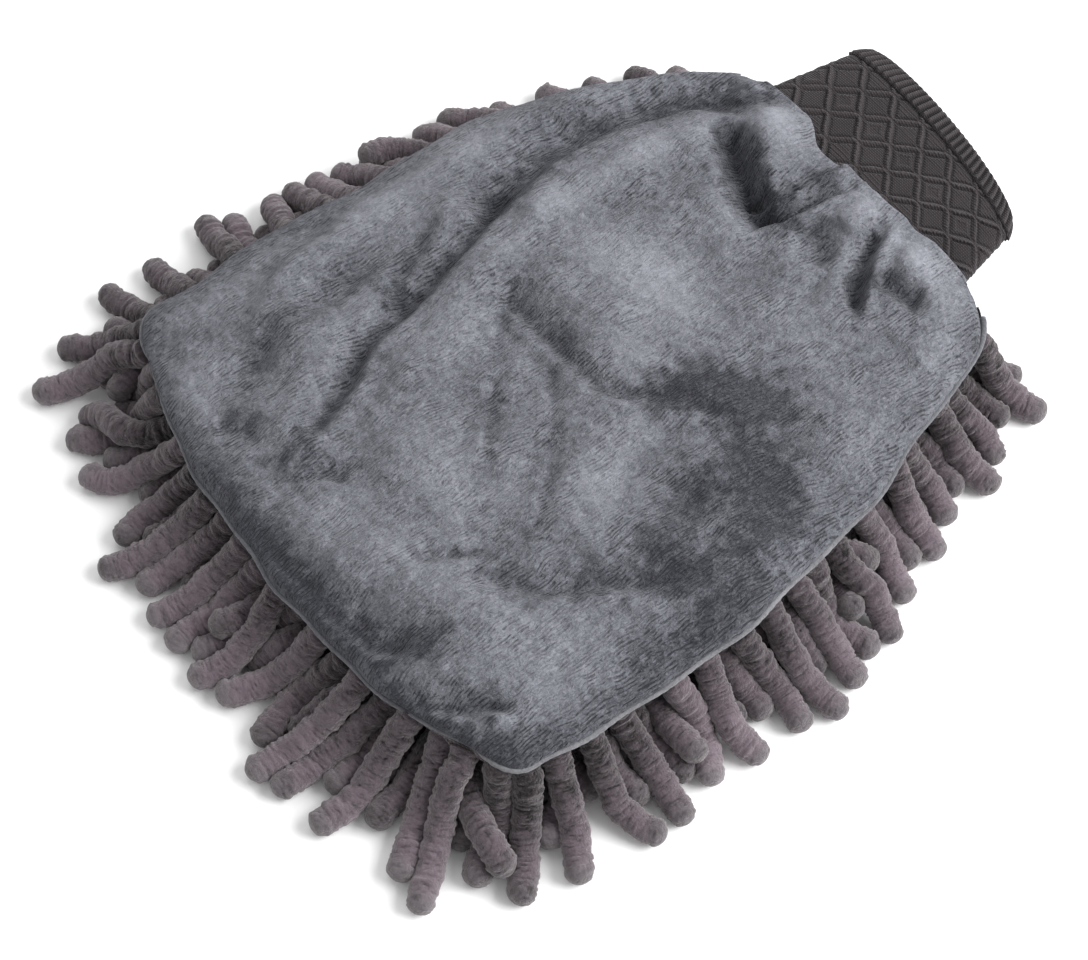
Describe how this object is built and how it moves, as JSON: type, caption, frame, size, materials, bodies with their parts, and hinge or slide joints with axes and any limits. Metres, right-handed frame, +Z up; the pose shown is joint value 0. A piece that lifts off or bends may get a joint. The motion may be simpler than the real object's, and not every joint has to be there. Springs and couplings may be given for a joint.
{
  "type": "wash mitt",
  "caption": "Pocket-shaped wash mitt with a plush face, a back of soft chenille fingers, an inner lining and a short patterned knit cuff with an elastic hem.",
  "frame": {"origin": "on the surface the mitt lies on, below the middle of its bounding box", "axes": "+Y from the finger end towards the cuff, +Z up from the chenille fingers to the plush face, +X across the mitt"},
  "size_m": [0.2676, 0.3124, 0.0411],
  "materials": {
    "plush": "short-pile coral fleece with a brushed, patchy nap",
    "chenille": "thick tufted chenille yarn, matt",
    "backing": "looped microfibre backing cloth, matt",
    "lining": "smooth woven polyester lining",
    "seam_edge": "rolled sewn edge of short-pile fleece",
    "knit": "relief-patterned jacquard knit",
    "knit_rib": "ribbed knit hem",
    "thread": "spun polyester sewing thread",
    "elastic": "covered elastic thread"
  },
  "bodies": {
    "mitt": {"plush_panel": "plush", "top_lining": "lining", "bottom_lining": "lining", "chenille_backing": "backing", "row_stitching": "thread", "perimeter_seam": "seam_edge", "mouth_seam": "thread", "cuff_root": "knit", "finger_row_01": "chenille", "finger_row_02": "chenille", "finger_row_03": "chenille", "finger_row_04": "chenille", "finger_row_05": "chenille", "finger_row_06": "chenille", "finger_row_07": "chenille", "finger_row_08": "chenille", "finger_row_09": "chenille", "finger_row_10": "chenille", "finger_row_11": "chenille", "finger_row_12": "chenille", "finger_row_13": "chenille", "finger_row_14": "chenille", "finger_row_15": "chenille", "finger_row_16": "chenille", "finger_row_17": "chenille", "finger_row_18": "chenille"},
    "cuff": {"cuff_sleeve": "knit", "cuff_hem": "knit_rib", "cuff_elastic": "elastic"}
  },
  "joints": [
    {"name": "cuff_fold", "type": "hinge", "parent": "mitt", "child": "cuff", "pos_m": [0, 0.11721, 0.031], "axis": [1, 0, 0], "range_deg": [-35, 60]}
  ]
}
